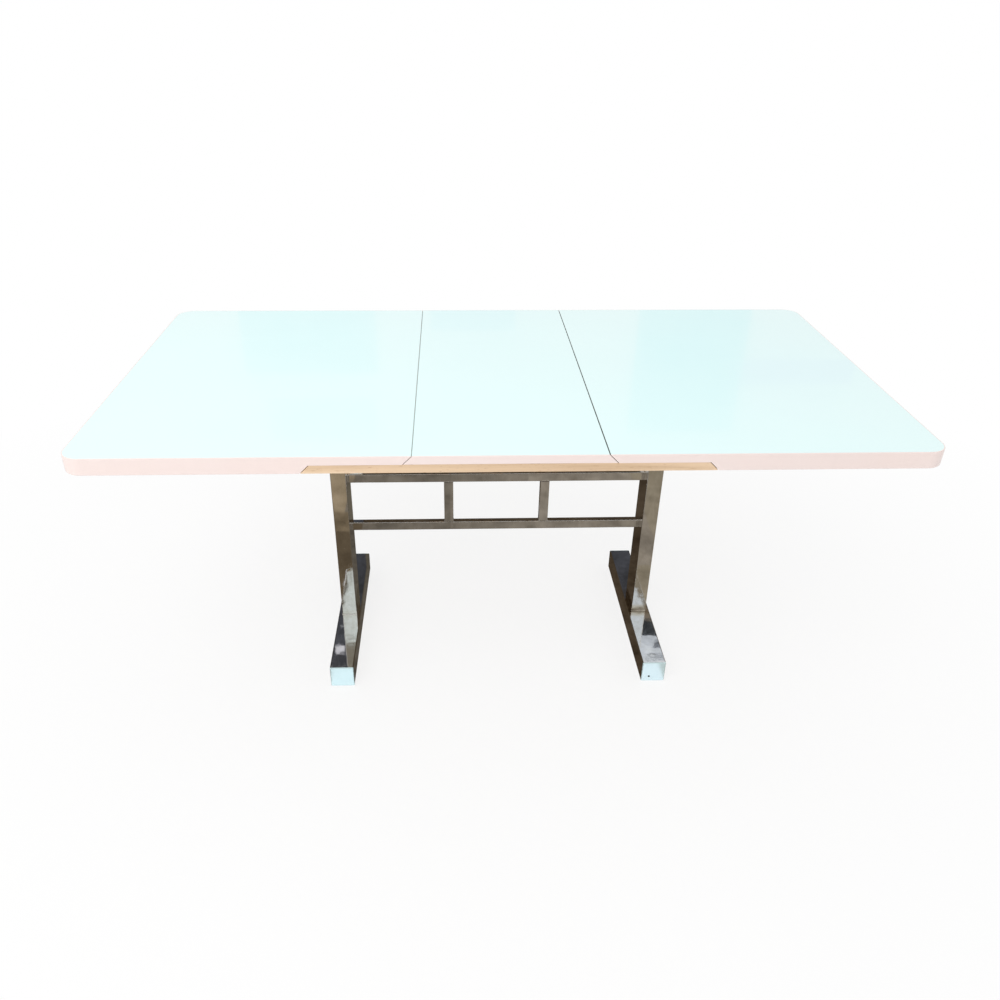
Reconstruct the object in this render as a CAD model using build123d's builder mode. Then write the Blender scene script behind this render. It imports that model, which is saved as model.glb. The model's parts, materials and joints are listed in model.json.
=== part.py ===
from build123d import *
from math import atan2, cos, degrees, hypot, radians, sin
import os

# Extendable dining table, in millimetres. X runs along the table, Y across it and +Z up.
# The origin is on the floor under the middle of the top. The table is drawn extended: a fixed
# leaf stands in the middle, and a half of the top lies on each side of it. Each half is carried
# by two pairs of parallel arms. It swings up and over on them and comes down on the leaf.

# ---- The top ----
table_height = 740.0
table_length = 1690.0        # extended
table_width = 864.0
corner_radius = 40.0         # of the top's outer corners, in plan
board_thickness = 16.5
laminate_thickness = 1.0
lipping_thickness = 17.5     # strips that double the edge of a half
lipping_width = 45.0
glue_joint = 0.2             # between one lipping strip and the next
band_thickness = 2.0         # edge band round boards and lippings
band_rounding = 1.0
leaf_width = 372.0           # on the top face; 45 degree edges make it wider below
seam = 2.0                   # open joint round the leaf and at the ends of the rails
meeting_gap = 1.0            # between the two halves when they are closed
felt_thickness = 2.0
felt_size = 24.0
felt_margin = 28.0           # from the half's lower inner edge to the middle of the first pads
felt_spacing = 100.0
felt_clearance = 0.3         # left between the felt and the leaf when closed

# ---- Wooden frame under the leaf ----
rail_width = 60.0
rail_setback = 1.0           # of the rails' faces behind the edge band
rail_relief = 0.5            # taken off the rails' tops where the halves lie over them
closing_clearance = 6.0      # between the leaf and the lippings when closed
bearer_width = 60.0
bearer_spacing = 150.0
bearer_easing = 2.0

# ---- Base ----
foot_size = 58.0
foot_length = 500.0
foot_wall = 3.0
foot_end_plate = 2.5
end_plate_rounding = 2.0      # of the plates' outer edges
tube_rounding = 1.5
foot_rounding = 2.5
upright_x = 387.0
upright_width = 38.0
upright_depth = 78.0
upright_wall = 3.0
stretcher_height = 23.0
stretcher_depth = 16.0
stretcher_wall = 1.5
upper_stretcher_z = 457.0
lower_stretcher_z = 318.0
strut_spacing = 240.0
glide_diameter = 24.0
glide_height = 3.0
glide_stem = 8.0
glide_stem_length = 9.0
glide_inset = 38.0           # from the end of a foot to the middle of its glide
head_width = 50.0
head_wall = 3.0

# ---- Channels that carry the arms ----
channel_face = 205.0         # from the middle of the table to the outer face of the web
channel_wall = 5.0
channel_flange = 35.0
channel_bend = 6.0           # outer radius of the channel's bends
pivot_edge = 18.0            # from a shaft's middle to the channel's lower edge
channel_end = 26.0           # from an outer shaft's middle to the channel's end

# ---- Arms and the shafts that join them in pairs ----
arm_lean = 60.0              # from upright, with the table extended
arm_width = 24.0
arm_thickness = 6.0
arm_spacing = 232.0          # from the inner to the outer pair
arm_standoff = 5.0           # from the channel to the arm
pivot_drop = 14.0            # from the underside of a half to its pivots
shaft_diameter = 16.0
shaft_square = 11.0          # across the flats of a shaft's ends, which drive the arms
boss_diameter = 22.0
channel_bush_flange = 26.0
bush_wall = 2.0
bush_flange = 1.0
bush_flange_diameter = 18.0
side_play = 0.3
running_fit = 0.05           # radial, pivot in bush
snug_fit = 0.05              # radial, fixed parts in their holes

# ---- Brackets under the halves ----
bracket_length = 56.0
bracket_foot = 38.0
bracket_wall = 5.0
lug_radius = 13.0
lug_clearance = 6.0          # from the leaf to the lugs when closed

# ---- Upper pivots, fasteners and buffers ----
pivot_diameter = 10.0
thread_diameter = 8.0
thread_end = 1.0             # thread showing past a nut
bolt_head_diameter = 16.0
bolt_head_height = 3.2
bolt_socket = 5.0            # across the flats of the hexagon socket
bolt_socket_depth = 2.0
nut_flats = 13.0
nut_height = 6.0
screw_diameter = 4.5
screw_head_diameter = 9.0
screw_head_height = 2.5
screw_grip = 11.0            # length of a screw inside the wood
vent_diameter = 6.0          # drain for the plating bath, in the right foot's front plate
vent_offset = 10.0
vent_height = 15.0           # above the underside of the foot
buffer_diameter = 20.0
buffer_clearance = 0.3
buffer_stem = 6.0
buffer_offset = 45.0         # from the outer lower pivots towards the middle

# ---- Worked out from those ----
slab = board_thickness + laminate_thickness
slab_underside = table_height - slab
apron_bottom = slab_underside - lipping_thickness
core_length = table_length - 2 * band_thickness
core_width = table_width - 2 * band_thickness
core_radius = corner_radius - band_thickness
leaf_reach = leaf_width / 2
half_reach = leaf_reach + seam

travel = half_reach - meeting_gap / 2
rise = slab + felt_thickness + felt_clearance
path_slope = degrees(atan2(rise, travel))
swing = 2 * (arm_lean - path_slope)
arm_length = hypot(travel, rise) / (2 * sin(radians(swing / 2)))
closed_lean = swing - arm_lean

upper_pivot_z = slab_underside - pivot_drop
lower_pivot_z = upper_pivot_z - arm_length * cos(radians(arm_lean))
inner_closed_x = leaf_reach + slab + lug_clearance + lug_radius
inner_lower_x = inner_closed_x + arm_length * sin(radians(closed_lean))
outer_lower_x = inner_lower_x + arm_spacing
arm_offset = arm_length * sin(radians(arm_lean))
lower_pivots = {"inner": inner_lower_x, "outer": outer_lower_x}

rail_reach = leaf_reach + travel + closing_clearance
notch_reach = rail_reach + seam
rail_face = table_width / 2 - rail_setback
bearer_length = 2 * (rail_face - rail_width)
bearer_xs = (-bearer_spacing, 0, bearer_spacing)

channel_top = apron_bottom
channel_bottom = lower_pivot_z - pivot_edge
channel_height = channel_top - channel_bottom
channel_length = 2 * (outer_lower_x + channel_end)
channel_inside = channel_face - channel_wall
flange_middle = channel_face - channel_flange / 2
head_bottom = channel_bottom + channel_wall
head_height = channel_height - 2 * channel_wall

foot_top = glide_height + foot_size
foot_tube_length = foot_length - 2 * foot_end_plate
clear_span = 2 * upright_x - upright_width

arm_inner_face = channel_face + arm_standoff
arm_outer_face = arm_inner_face + arm_thickness
lug_inner_face = arm_outer_face + side_play
bush_diameter = pivot_diameter + 2 * running_fit + 2 * bush_wall
boss_length = arm_standoff - bush_flange - side_play
channel_bush_diameter = shaft_diameter + 2 * running_fit + 2 * bush_wall
buffer_height = lipping_thickness - buffer_clearance
buffer_x = outer_lower_x - buffer_offset

sides = {"left": -1, "right": 1}
faces_out = {"front": -1, "back": 1}


def bevel(reach, top_z, side):
    """A 45 degree plane, at reach from the middle at top_z, that spreads outwards below it."""
    return Plane(origin=(side * reach, 0, top_z), z_dir=(side, 0, 1))


def upright_plane(x, y, z, way):
    """A plane across the table's depth, facing the back where way is 1 and the front at -1."""
    return Plane(origin=(x, y, z), x_dir=(1, 0, 0), z_dir=(0, way, 0))


os.makedirs("parts", exist_ok=True)

# ================= Base =================

for hand, side in sides.items():
    foot_x = side * upright_x

    # Foot: a square tube across the table, drilled below for its glides.
    with BuildPart() as foot:
        with BuildSketch(Plane.XZ.offset(foot_tube_length / 2)):
            with Locations((foot_x, glide_height + foot_size / 2)):
                RectangleRounded(foot_size, foot_size, foot_rounding)
                Rectangle(foot_size - 2 * foot_wall, foot_size - 2 * foot_wall, mode=Mode.SUBTRACT)
        extrude(amount=-foot_tube_length)
        with BuildSketch(Plane.XY.offset(glide_height)):
            with Locations((foot_x, 0)):
                with GridLocations(0, foot_length - 2 * glide_inset, 1, 2):
                    Circle(glide_stem / 2 + snug_fit)
        extrude(amount=foot_wall, mode=Mode.SUBTRACT)
    foot.part.label = f"{hand}_foot"
    export_step(foot.part, f"parts/{hand}_foot.step")

    # Upright: a flat rectangular tube, welded on the foot and under the head tube.
    with BuildPart() as upright:
        with BuildSketch(Plane.XY.offset(foot_top)):
            with Locations((foot_x, 0)):
                RectangleRounded(upright_width, upright_depth, tube_rounding)
                Rectangle(
                    upright_width - 2 * upright_wall,
                    upright_depth - 2 * upright_wall,
                    mode=Mode.SUBTRACT,
                )
        extrude(amount=head_bottom - foot_top)
    upright.part.label = f"{hand}_upright"
    export_step(upright.part, f"parts/{hand}_upright.step")

    # Head tube: joins the two channels and stands on the upright.
    with BuildPart() as head_tube:
        with BuildSketch(Plane.XZ.offset(channel_inside)):
            with Locations((foot_x, head_bottom + head_height / 2)):
                RectangleRounded(head_width, head_height, tube_rounding)
                Rectangle(
                    head_width - 2 * head_wall, head_height - 2 * head_wall, mode=Mode.SUBTRACT
                )
        extrude(amount=-2 * channel_inside)
    head_tube.part.label = f"{hand}_head_tube"
    export_step(head_tube.part, f"parts/{hand}_head_tube.step")

    # Strut: a short upright tube between the two stretchers.
    with BuildPart() as strut:
        with BuildSketch(Plane.XY.offset(lower_stretcher_z + stretcher_height / 2)):
            with Locations((side * strut_spacing / 2, 0)):
                RectangleRounded(stretcher_height, stretcher_depth, tube_rounding)
                Rectangle(
                    stretcher_height - 2 * stretcher_wall,
                    stretcher_depth - 2 * stretcher_wall,
                    mode=Mode.SUBTRACT,
                )
        extrude(amount=upper_stretcher_z - lower_stretcher_z - stretcher_height)
    strut.part.label = f"{hand}_strut"
    export_step(strut.part, f"parts/{hand}_strut.step")

# Stretchers: two tubes between the uprights.
for place, middle_z in {"upper": upper_stretcher_z, "lower": lower_stretcher_z}.items():
    with BuildPart() as stretcher:
        with BuildSketch(Plane.YZ.offset(-clear_span / 2)):
            with Locations((0, middle_z)):
                RectangleRounded(stretcher_depth, stretcher_height, tube_rounding)
                Rectangle(
                    stretcher_depth - 2 * stretcher_wall,
                    stretcher_height - 2 * stretcher_wall,
                    mode=Mode.SUBTRACT,
                )
        extrude(amount=clear_span)
    stretcher.part.label = f"{place}_stretcher"
    export_step(stretcher.part, f"parts/{place}_stretcher.step")

# End plates: close the feet at the front and the back, their outer edges ground round.
with BuildPart() as foot_end_plates:
    with BuildSketch(Plane.XZ.offset(foot_tube_length / 2)):
        with Locations((0, glide_height + foot_size / 2)):
            with GridLocations(2 * upright_x, 0, 2, 1):
                RectangleRounded(foot_size, foot_size, foot_rounding)
    extrude(amount=foot_end_plate)
    fillet(faces().sort_by(Axis.Y)[:2].edges(), radius=end_plate_rounding)
    mirror(about=Plane.XZ)
    with Locations(
        upright_plane(upright_x - vent_offset, -foot_length / 2, glide_height + vent_height, -1)
    ):
        Hole(radius=vent_diameter / 2, depth=foot_end_plate)
foot_end_plates.part.label = "foot_end_plates"
export_step(foot_end_plates.part, "parts/foot_end_plates.step")

# Glides: plastic discs with a stem pushed up into the foot.
with BuildPart() as floor_glides:
    with BuildSketch() as discs:
        with GridLocations(2 * upright_x, foot_length - 2 * glide_inset, 2, 2):
            Circle(glide_diameter / 2)
    extrude(amount=glide_height)
    chamfer(faces().group_by(Axis.Z)[0].edges(), length=glide_height / 4)
    with BuildSketch(Plane.XY.offset(glide_height)):
        with GridLocations(2 * upright_x, foot_length - 2 * glide_inset, 2, 2):
            Circle(glide_stem / 2)
    extrude(amount=glide_stem_length)
floor_glides.part.label = "floor_glides"
export_step(floor_glides.part, "parts/floor_glides.step")

# ================= Channels and their pivots =================

for place, way in faces_out.items():
    # Channel: folded steel, open towards the middle of the table.
    with BuildPart() as channel:
        with BuildSketch(Plane.YZ.offset(-channel_length / 2)):
            with Locations((way * channel_face, channel_bottom + channel_height / 2)):
                Rectangle(2 * channel_flange, channel_height)
            with Locations((way * (channel_face + channel_flange / 2), channel_bottom + channel_height / 2)):
                Rectangle(channel_flange, channel_height, mode=Mode.SUBTRACT)
            web_corners = vertices().group_by(Axis.X)[-1 if way > 0 else 0]
            fillet(web_corners, radius=channel_bend)
            with Locations((way * (channel_inside - channel_flange), channel_bottom + channel_height / 2)):
                Rectangle(2 * channel_flange, channel_height - 2 * channel_wall, mode=Mode.SUBTRACT)
        extrude(amount=channel_length)
        pivot_places = [
            upright_plane(side * x, way * channel_face, lower_pivot_z, way)
            for side in sides.values()
            for x in lower_pivots.values()
        ]
        with Locations(*pivot_places):
            Hole(radius=channel_bush_diameter / 2 + snug_fit, depth=channel_wall)
        with Locations(*[(x, way * flange_middle, channel_top) for x in bearer_xs]):
            Hole(radius=screw_diameter / 2 + snug_fit, depth=channel_wall)
        with Locations(*[(side * buffer_x, way * flange_middle, channel_top) for side in sides.values()]):
            Hole(radius=buffer_stem / 2 + snug_fit, depth=channel_wall)
    channel.part.label = f"{place}_channel"
    export_step(channel.part, f"parts/{place}_channel.step")

# Channel bushes: flanged plastic sleeves in which the shafts turn.
with BuildPart() as channel_bushes:
    for side in sides.values():
        for x in lower_pivots.values():
            web_face = upright_plane(side * x, channel_face, lower_pivot_z, 1)
            with BuildSketch(web_face):
                Circle(channel_bush_flange / 2)
                Circle(shaft_diameter / 2 + running_fit, mode=Mode.SUBTRACT)
            extrude(amount=bush_flange)
            with BuildSketch(web_face):
                Circle(channel_bush_diameter / 2)
                Circle(shaft_diameter / 2 + running_fit, mode=Mode.SUBTRACT)
            extrude(amount=-channel_wall)
    mirror(about=Plane.XZ)
channel_bushes.part.label = "channel_bushes"
export_step(channel_bushes.part, "parts/channel_bushes.step")

# Buffers: rubber feet on the channels, where the halves come to rest.
with BuildPart() as rest_buffers:
    with BuildSketch(Plane.XY.offset(channel_top)):
        with GridLocations(2 * buffer_x, 2 * flange_middle, 2, 2):
            Circle(buffer_diameter / 2)
    extrude(amount=buffer_height, taper=4)
    with BuildSketch(Plane.XY.offset(channel_top)):
        with GridLocations(2 * buffer_x, 2 * flange_middle, 2, 2):
            Circle(buffer_stem / 2)
    extrude(amount=-channel_wall)
rest_buffers.part.label = "rest_buffers"
export_step(rest_buffers.part, "parts/rest_buffers.step")

# ================= Wooden frame and leaf =================

for place, way in faces_out.items():
    # Rail: fills the notch between the halves' lippings, with 45 degree ends.
    with BuildPart() as rail:
        with BuildSketch(Plane.XZ.offset(-way * rail_face)):
            with BuildLine():
                Polyline(
                    (0, apron_bottom),
                    (rail_reach + lipping_thickness, apron_bottom),
                    (rail_reach + rail_relief, slab_underside - rail_relief),
                    (leaf_reach + slab, slab_underside - rail_relief),
                    (leaf_reach + slab, slab_underside),
                    (0, slab_underside),
                )
                mirror(about=Plane.YZ)
            make_face()
        extrude(amount=way * rail_width)
    rail.part.label = f"{place}_rail"
    export_step(rail.part, f"parts/{place}_rail.step")

# Bearers: planks across the channels, between the rails, screwed to the leaf from below.
leaf_screw_ys = (-bearer_length / 2 + bearer_width, bearer_length / 2 - bearer_width)
for place, x in zip(("left", "centre", "right"), bearer_xs):
    with BuildPart() as bearer:
        with BuildSketch(Plane.XY.offset(apron_bottom)):
            with Locations((x, 0)):
                Rectangle(bearer_width, bearer_length)
        extrude(amount=lipping_thickness)
        chamfer(faces().sort_by(Axis.Z)[0].edges().filter_by(Axis.Y), length=bearer_easing)
        with Locations(*[Plane(origin=(x, y, apron_bottom), z_dir=(0, 0, -1)) for y in leaf_screw_ys]):
            Hole(radius=screw_diameter / 2 + snug_fit, depth=lipping_thickness)
        channel_lines = (-flange_middle, flange_middle)
        with Locations(*[Plane(origin=(x, y, apron_bottom), z_dir=(0, 0, -1)) for y in channel_lines]):
            Hole(radius=screw_diameter / 2 + snug_fit, depth=screw_grip)
    bearer.part.label = f"{place}_bearer"
    export_step(bearer.part, f"parts/{place}_bearer.step")

# Screws up through the channels' flanges into the bearers.
with BuildPart() as bearer_screws:
    with BuildSketch(Plane.XY.offset(channel_top - channel_wall)):
        with GridLocations(bearer_spacing, 2 * flange_middle, 3, 2):
            Circle(screw_diameter / 2)
    extrude(amount=channel_wall + screw_grip)
    with BuildSketch(Plane.XY.offset(channel_top - channel_wall)):
        with GridLocations(bearer_spacing, 2 * flange_middle, 3, 2):
            Circle(screw_head_diameter / 2)
    extrude(amount=-screw_head_height)
bearer_screws.part.label = "bearer_screws"
export_step(bearer_screws.part, "parts/bearer_screws.step")

# Screws up through the bearers into the leaf.
with BuildPart() as leaf_screws:
    with BuildSketch(Plane.XY.offset(apron_bottom)):
        with GridLocations(bearer_spacing, leaf_screw_ys[1] - leaf_screw_ys[0], 3, 2):
            Circle(screw_diameter / 2)
    extrude(amount=lipping_thickness + screw_grip)
    with BuildSketch(Plane.XY.offset(apron_bottom)):
        with GridLocations(bearer_spacing, leaf_screw_ys[1] - leaf_screw_ys[0], 3, 2):
            Circle(screw_head_diameter / 2)
    extrude(amount=-screw_head_height)
leaf_screws.part.label = "leaf_screws"
export_step(leaf_screws.part, "parts/leaf_screws.step")

# Leaf board: its 45 degree edges make it wider below.
with BuildPart() as leaf_board:
    with BuildSketch(Plane.XY.offset(slab_underside)):
        Rectangle(core_length, core_width)
    extrude(amount=board_thickness)
    for side in sides.values():
        split(bisect_by=bevel(leaf_reach, table_height, side), keep=Keep.BOTTOM)
    with BuildSketch(Plane.XY.offset(slab_underside)):
        with GridLocations(bearer_spacing, leaf_screw_ys[1] - leaf_screw_ys[0], 3, 2):
            Circle(screw_diameter / 2 + snug_fit)
    extrude(amount=screw_grip, mode=Mode.SUBTRACT)
leaf_board.part.label = "leaf_board"
export_step(leaf_board.part, "parts/leaf_board.step")

# Leaf laminate: the gloss sheet on the board.
with BuildPart() as leaf_laminate:
    with BuildSketch(Plane.XY.offset(table_height - laminate_thickness)):
        Rectangle(core_length, core_width)
    extrude(amount=laminate_thickness)
    for side in sides.values():
        split(bisect_by=bevel(leaf_reach, table_height, side), keep=Keep.BOTTOM)
leaf_laminate.part.label = "leaf_laminate"
export_step(leaf_laminate.part, "parts/leaf_laminate.step")

# Leaf edge bands: along its front and back edges.
with BuildPart() as leaf_edge_bands:
    with BuildSketch(Plane.XY.offset(slab_underside)):
        with Locations((0, -(table_width - band_thickness) / 2)):
            Rectangle(table_length, band_thickness)
    extrude(amount=slab)
    fillet(faces().sort_by(Axis.Y)[0].edges().filter_by(Axis.X), radius=band_rounding)
    for side in sides.values():
        split(bisect_by=bevel(leaf_reach, table_height, side), keep=Keep.BOTTOM)
    mirror(about=Plane.XZ)
leaf_edge_bands.part.label = "leaf_edge_bands"
export_step(leaf_edge_bands.part, "parts/leaf_edge_bands.step")

# ================= Halves =================

for hand, side in sides.items():
    inner_bevel = bevel(half_reach, table_height, side)
    notch_bevel = bevel(notch_reach, slab_underside, side)
    bracket_xs = [side * (x + arm_offset) for x in lower_pivots.values()]
    bracket_screw_places = [
        (x + offset, lug_inner_face + bracket_foot / 2)
        for x in bracket_xs
        for offset in (lug_radius - bracket_length / 2, bracket_length / 2 - lug_radius)
    ]

    # Board of one half: it hangs over the leaf's edge along the seam.
    with BuildPart() as board:
        with BuildSketch(Plane.XY.offset(slab_underside)):
            RectangleRounded(core_length, core_width, core_radius)
        extrude(amount=board_thickness)
        split(bisect_by=inner_bevel, keep=Keep.TOP)
        with BuildSketch(Plane.XY.offset(slab_underside)):
            for way in faces_out.values():
                with Locations(*[(x, way * y) for x, y in bracket_screw_places]):
                    Circle(screw_diameter / 2 + snug_fit)
        extrude(amount=screw_grip, mode=Mode.SUBTRACT)
    board.part.label = f"{hand}_board"
    export_step(board.part, f"parts/{hand}_board.step")

    # Laminate of one half.
    with BuildPart() as laminate:
        with BuildSketch(Plane.XY.offset(table_height - laminate_thickness)):
            RectangleRounded(core_length, core_width, core_radius)
        extrude(amount=laminate_thickness)
        split(bisect_by=inner_bevel, keep=Keep.TOP)
    laminate.part.label = f"{hand}_laminate"
    export_step(laminate.part, f"parts/{hand}_laminate.step")

    # Lippings: front, back and end strips glued under the board, outside the notch.
    with BuildPart() as lippings:
        with BuildSketch(Plane.XY.offset(apron_bottom)):
            RectangleRounded(core_length, core_width, core_radius)
            Rectangle(
                core_length - 2 * lipping_width, core_width - 2 * lipping_width, mode=Mode.SUBTRACT
            )
            with Locations((side * (core_length / 2 - lipping_width), 0)):
                Rectangle(glue_joint, core_width, mode=Mode.SUBTRACT)
        extrude(amount=lipping_thickness)
        split(bisect_by=notch_bevel, keep=Keep.TOP)
    lippings.part.label = f"{hand}_lippings"
    export_step(lippings.part, f"parts/{hand}_lippings.step")

    # Edge band: one strip round the half, stepped down to the board's height over the notch.
    with BuildPart() as edge_band:
        with BuildSketch(Plane.XY.offset(apron_bottom)):
            RectangleRounded(table_length, table_width, corner_radius)
            RectangleRounded(core_length, core_width, core_radius, mode=Mode.SUBTRACT)
        extrude(amount=table_height - apron_bottom)
        flat_faces = faces().filter_by(Axis.Z)
        rims = flat_faces[0].outer_wire().edges() + flat_faces[-1].outer_wire().edges()
        fillet(rims, radius=band_rounding)
        with BuildSketch(Plane.XZ):
            with BuildLine():
                Polyline(
                    (0, apron_bottom),
                    (side * (notch_reach + lipping_thickness), apron_bottom),
                    (side * notch_reach, slab_underside),
                    (0, slab_underside),
                    close=True,
                )
            make_face()
        extrude(amount=table_width, both=True, mode=Mode.SUBTRACT)
        split(bisect_by=inner_bevel, keep=Keep.TOP)
    edge_band.part.label = f"{hand}_edge_band"
    export_step(edge_band.part, f"parts/{hand}_edge_band.step")

    # Brackets: steel angles under the board, each with a lug for an upper pivot.
    with BuildPart() as brackets:
        for x in bracket_xs:
            with BuildSketch(Plane.XY.offset(slab_underside)):
                with Locations((x, lug_inner_face + bracket_foot / 2)):
                    Rectangle(bracket_length, bracket_foot)
            extrude(amount=-bracket_wall)
            with BuildSketch(upright_plane(x, lug_inner_face, upper_pivot_z, 1)) as lug:
                Circle(lug_radius)
                with Locations((0, -pivot_drop / 2)):
                    Rectangle(2 * lug_radius, pivot_drop)
                Circle(thread_diameter / 2 + snug_fit, mode=Mode.SUBTRACT)
            extrude(amount=bracket_wall)
        with BuildSketch(Plane.XY.offset(slab_underside)):
            with Locations(*bracket_screw_places):
                Circle(screw_diameter / 2 + snug_fit)
        extrude(amount=-bracket_wall, mode=Mode.SUBTRACT)
        mirror(about=Plane.XZ)
    brackets.part.label = f"{hand}_brackets"
    export_step(brackets.part, f"parts/{hand}_brackets.step")

    # Screws up through the brackets' feet into the board.
    with BuildPart() as bracket_screws:
        with BuildSketch(Plane.XY.offset(slab_underside - bracket_wall)):
            with Locations(*bracket_screw_places):
                Circle(screw_diameter / 2)
        extrude(amount=bracket_wall + screw_grip)
        with BuildSketch(Plane.XY.offset(slab_underside - bracket_wall)):
            with Locations(*bracket_screw_places):
                Circle(screw_head_diameter / 2)
        extrude(amount=-screw_head_height)
        mirror(about=Plane.XZ)
    bracket_screws.part.label = f"{hand}_bracket_screws"
    export_step(bracket_screws.part, f"parts/{hand}_bracket_screws.step")

    # Upper pivots: shoulder bolts with their threads in the lugs, and nuts behind the lugs.
    upper_pivot_places = [upright_plane(x, lug_inner_face, upper_pivot_z, 1) for x in bracket_xs]
    shoulder_length = side_play + arm_thickness + bush_flange + side_play
    with BuildPart() as pivot_bolts:
        for pivot in upper_pivot_places:
            with BuildSketch(pivot):
                Circle(thread_diameter / 2)
            extrude(amount=bracket_wall + nut_height + thread_end)
            with BuildSketch(pivot):
                Circle(pivot_diameter / 2)
            extrude(amount=-shoulder_length)
            with BuildSketch(pivot.offset(-shoulder_length)):
                Circle(bolt_head_diameter / 2)
            extrude(amount=-bolt_head_height)
            with BuildSketch(pivot.offset(-shoulder_length - bolt_head_height)):
                RegularPolygon(bolt_socket / 2, 6, major_radius=False)
            extrude(amount=bolt_socket_depth, mode=Mode.SUBTRACT)
        mirror(about=Plane.XZ)
    pivot_bolts.part.label = f"{hand}_pivot_bolts"
    export_step(pivot_bolts.part, f"parts/{hand}_pivot_bolts.step")

    with BuildPart() as pivot_nuts:
        for pivot in upper_pivot_places:
            with BuildSketch(pivot.offset(bracket_wall)):
                RegularPolygon(nut_flats / 2, 6, major_radius=False)
                Circle(thread_diameter / 2 + snug_fit, mode=Mode.SUBTRACT)
            extrude(amount=nut_height)
        mirror(about=Plane.XZ)
    pivot_nuts.part.label = f"{hand}_pivot_nuts"
    export_step(pivot_nuts.part, f"parts/{hand}_pivot_nuts.step")

    # Felt pads: the half comes down on them when it lies over the leaf.
    with BuildPart() as felt_pads:
        with BuildSketch(Plane.XY.offset(slab_underside)):
            with Locations((side * (leaf_reach + slab + felt_margin + felt_spacing / 2), 0)):
                for y in (-channel_face, channel_face):
                    with Locations((0, y)):
                        with GridLocations(felt_spacing, 2 * felt_spacing, 2, 2):
                            Circle(felt_size / 2)
        extrude(amount=-felt_thickness)
    felt_pads.part.label = f"{hand}_felt_pads"
    export_step(felt_pads.part, f"parts/{hand}_felt_pads.step")

# ================= Arms =================

for hand, side in sides.items():
    for place, lower_x in lower_pivots.items():
        # The plane's X runs along the arm, from its lower pivot to its upper one.
        arm_plane = Plane(
            origin=(side * lower_x, arm_inner_face, lower_pivot_z),
            x_dir=(side * sin(radians(arm_lean)), 0, cos(radians(arm_lean))),
            z_dir=(0, 1, 0),
        )

        # Arms: flat bars with round ends, one at the front and one at the back. Each has a
        # boss and a square hole for the shaft, and a round eye for the upper pivot's bush.
        with BuildPart() as arms:
            with BuildSketch(arm_plane):
                with Locations((arm_length / 2, 0)):
                    SlotCenterToCenter(arm_length, arm_width)
                Rectangle(shaft_square, shaft_square, mode=Mode.SUBTRACT)
                with Locations((arm_length, 0)):
                    Circle(bush_diameter / 2 + snug_fit, mode=Mode.SUBTRACT)
            extrude(amount=arm_thickness)
            with BuildSketch(arm_plane):
                Circle(boss_diameter / 2)
                Circle(shaft_diameter / 2, mode=Mode.SUBTRACT)
            extrude(amount=-boss_length)
            mirror(about=Plane.XZ)
        arms.part.label = f"{hand}_{place}_arms"
        export_step(arms.part, f"parts/{hand}_{place}_arms.step")

        # Shaft: turns in the channels' bushes and makes the front and back arms swing as one.
        with BuildPart() as shaft:
            with BuildSketch(upright_plane(side * lower_x, -arm_inner_face, lower_pivot_z, 1)):
                Circle(shaft_diameter / 2)
            extrude(amount=2 * arm_inner_face)
            with BuildSketch(arm_plane):
                Rectangle(shaft_square, shaft_square)
            extrude(amount=arm_thickness)
            mirror(about=Plane.XZ)
        shaft.part.label = f"{hand}_{place}_shaft"
        export_step(shaft.part, f"parts/{hand}_{place}_shaft.step")

        # Bushes: flanged plastic sleeves in the arms' upper eyes.
        with BuildPart() as bushes:
            with BuildSketch(arm_plane):
                with Locations((arm_length, 0)):
                    Circle(bush_diameter / 2)
                    Circle(pivot_diameter / 2 + running_fit, mode=Mode.SUBTRACT)
            extrude(amount=arm_thickness)
            with BuildSketch(arm_plane):
                with Locations((arm_length, 0)):
                    Circle(bush_flange_diameter / 2)
                    Circle(pivot_diameter / 2 + running_fit, mode=Mode.SUBTRACT)
            extrude(amount=-bush_flange)
            mirror(about=Plane.XZ)
        bushes.part.label = f"{hand}_{place}_bushes"
        export_step(bushes.part, f"parts/{hand}_{place}_bushes.step")
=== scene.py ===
# %% [markdown]
# # An extending dining table
# The table has a white gloss top in two halves, a fixed centre leaf between them, a wooden
# frame, and a chromed trestle with long feet. Its solids come ready from the CAD frame, in
# metres, and each sits at the origin with its place in its mesh. This lesson gives every
# solid a finish, models the small pieces that a plain solid only hints at, such as cross-head
# screws and felt discs, adds weld beads, and then lights the table as a studio would.

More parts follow.
